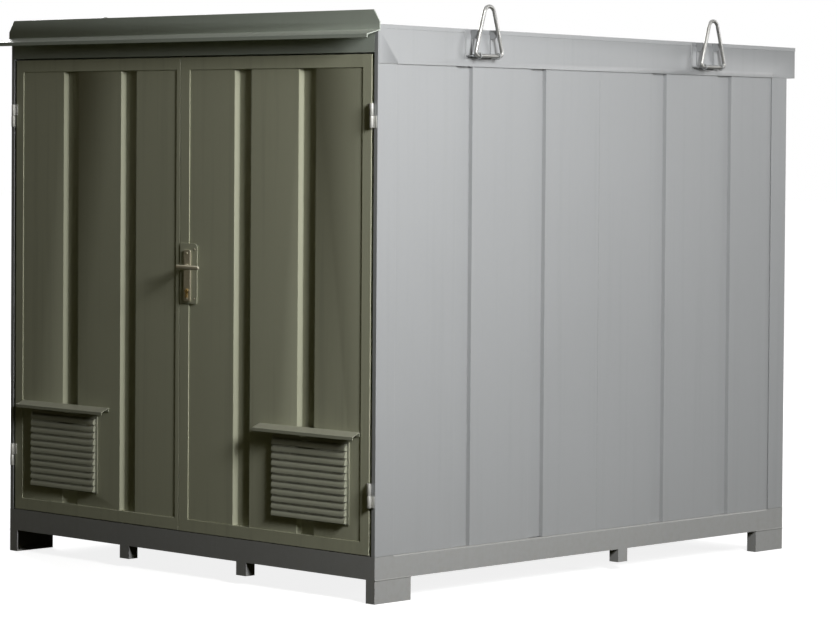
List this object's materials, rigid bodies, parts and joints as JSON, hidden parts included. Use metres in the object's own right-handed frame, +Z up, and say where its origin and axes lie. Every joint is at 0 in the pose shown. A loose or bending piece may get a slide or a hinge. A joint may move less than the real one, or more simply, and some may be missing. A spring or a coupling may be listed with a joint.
{
  "type": "pad-mounted transformer kiosk",
  "caption": "Sheet-steel walk-up kiosk on short feet with a louvred double door, canopy and lifting rings, holding an oil-filled transformer and its switchboard.",
  "frame": {"origin": "on the ground, under the middle of the overall outline, which runs from the canopy lip to the rear roof edge", "axes": "+Z up, the double door faces -Y, +X to the right when facing the doors"},
  "size_m": [2.1156, 2.3852, 2.0824],
  "materials": {
    "housing_paint": "satin light grey enamel on sheet steel",
    "base_paint": "satin grey enamel on rolled channel",
    "door_paint": "satin grey enamel on folded sheet",
    "ring_paint": "thin grey paint on bent round bar",
    "zinc": "zinc-plated steel",
    "satin_steel": "satin nickel",
    "brass": "machined brass",
    "tank_paint": "gloss grey enamel",
    "core_steel": "varnished laminated steel",
    "winding_copper": "enamelled copper winding",
    "porcelain": "brown glaze",
    "floor_steel": "bare mill finish",
    "switchboard_paint": "light grey powder coat",
    "black_plastic": "moulded black"
  },
  "bodies": {
    "housing": {"lintel": "housing_paint", "rear_wall": "housing_paint", "roof": "housing_paint", "canopy": "housing_paint", "front_post_left": "housing_paint", "rear_post_left": "housing_paint", "side_wall_left": "housing_paint", "front_post_right": "housing_paint", "rear_post_right": "housing_paint", "side_wall_right": "housing_paint", "ring_bracket_front_left": "housing_paint", "ring_bracket_rear_left": "housing_paint", "ring_bracket_front_right": "housing_paint", "ring_bracket_rear_right": "housing_paint", "base_frame": "base_paint", "lower_hinge_post_half_left": "zinc", "upper_hinge_post_half_left": "zinc", "lower_hinge_post_half_right": "zinc", "upper_hinge_post_half_right": "zinc", "transformer_tank": "tank_paint", "tank_lid": "tank_paint", "magnetic_core": "core_steel", "phase_winding_1": "winding_copper", "phase_winding_2": "winding_copper", "phase_winding_3": "winding_copper", "high_voltage_bushing_1": "porcelain", "high_voltage_bushing_2": "porcelain", "high_voltage_bushing_3": "porcelain", "low_voltage_bushing_1": "porcelain", "low_voltage_bushing_2": "porcelain", "low_voltage_bushing_3": "porcelain", "low_voltage_bushing_4": "porcelain", "floor_plate": "floor_steel", "switchboard": "switchboard_paint"},
    "left_door": {"door_frame_left": "door_paint", "door_panel_left": "door_paint", "door_louvre_left": "door_paint", "louvre_hood_left": "door_paint", "lower_hinge_door_half_left": "zinc", "upper_hinge_door_half_left": "zinc"},
    "right_door": {"door_frame_right": "door_paint", "door_panel_right": "door_paint", "door_louvre_right": "door_paint", "louvre_hood_right": "door_paint", "lower_hinge_door_half_right": "zinc", "upper_hinge_door_half_right": "zinc", "lock_plate": "door_paint", "escutcheon": "satin_steel", "lock_cylinder": "brass", "lock_case": "zinc"},
    "lever": {"lever_handle": "satin_steel"},
    "latch": {"latch_bolt": "satin_steel"},
    "key_plug": {"key_plug": "brass"},
    "top_shoot_bolt": {"shoot_bolt_top": "zinc"},
    "bottom_shoot_bolt": {"shoot_bolt_bottom": "zinc"},
    "main_switch": {"main_switch_handle": "black_plastic"},
    "ring_front_left": {"lifting_ring_front_left": "ring_paint"},
    "ring_front_right": {"lifting_ring_front_right": "ring_paint"},
    "ring_rear_left": {"lifting_ring_rear_left": "ring_paint"},
    "ring_rear_right": {"lifting_ring_rear_right": "ring_paint"}
  },
  "joints": [
    {"name": "left_door_hinge", "type": "hinge", "parent": "housing", "child": "left_door", "pos_m": [-0.981, -1.13415, 1.03], "axis": [0, 0, -1], "range_deg": [0, 165]},
    {"name": "right_door_hinge", "type": "hinge", "parent": "housing", "child": "right_door", "pos_m": [0.981, -1.13415, 1.03], "axis": [0, 0, 1], "range_deg": [0, 165]},
    {"name": "lever_turn", "type": "hinge", "parent": "right_door", "child": "lever", "pos_m": [0.03, -1.15185, 1.134], "axis": [0, 1, 0], "range_deg": [0, 40], "stiffness_Nm_per_rad": 1, "springref_deg": -34.38},
    {"name": "latch_slide", "type": "slide", "parent": "right_door", "child": "latch", "axis": [1, 0, 0], "range_m": [0, 0.012]},
    {"name": "key_turn", "type": "hinge", "parent": "right_door", "child": "key_plug", "pos_m": [0.03, -1.13185, 1.046], "axis": [0, 1, 0], "range_deg": [0, 360]},
    {"name": "top_shoot_bolt_slide", "type": "slide", "parent": "left_door", "child": "top_shoot_bolt", "axis": [0, 0, -1], "range_m": [0, 0.02]},
    {"name": "bottom_shoot_bolt_slide", "type": "slide", "parent": "left_door", "child": "bottom_shoot_bolt", "axis": [0, 0, 1], "range_m": [0, 0.02]},
    {"name": "main_switch_turn", "type": "hinge", "parent": "housing", "child": "main_switch", "pos_m": [0.7, -0.34185, 1.29], "axis": [1, 0, 0], "range_deg": [0, 90]},
    {"name": "ring_front_left_fold", "type": "hinge", "parent": "housing", "child": "ring_front_left", "pos_m": [-1.0465, -0.61735, 1.90051], "axis": [0, -1, 0], "range_deg": [0, 180]},
    {"name": "ring_front_right_fold", "type": "hinge", "parent": "housing", "child": "ring_front_right", "pos_m": [1.0465, -0.61735, 1.90051], "axis": [0, 1, 0], "range_deg": [0, 180]},
    {"name": "ring_rear_left_fold", "type": "hinge", "parent": "housing", "child": "ring_rear_left", "pos_m": [-1.0465, 0.63015, 1.88706], "axis": [0, -1, 0], "range_deg": [0, 180]},
    {"name": "ring_rear_right_fold", "type": "hinge", "parent": "housing", "child": "ring_rear_right", "pos_m": [1.0465, 0.63015, 1.88706], "axis": [0, 1, 0], "range_deg": [0, 180]}
  ],
  "couplings": [
    {"joint": "latch_slide", "follows": "lever_turn", "m_per_rad": 0.01718}
  ]
}
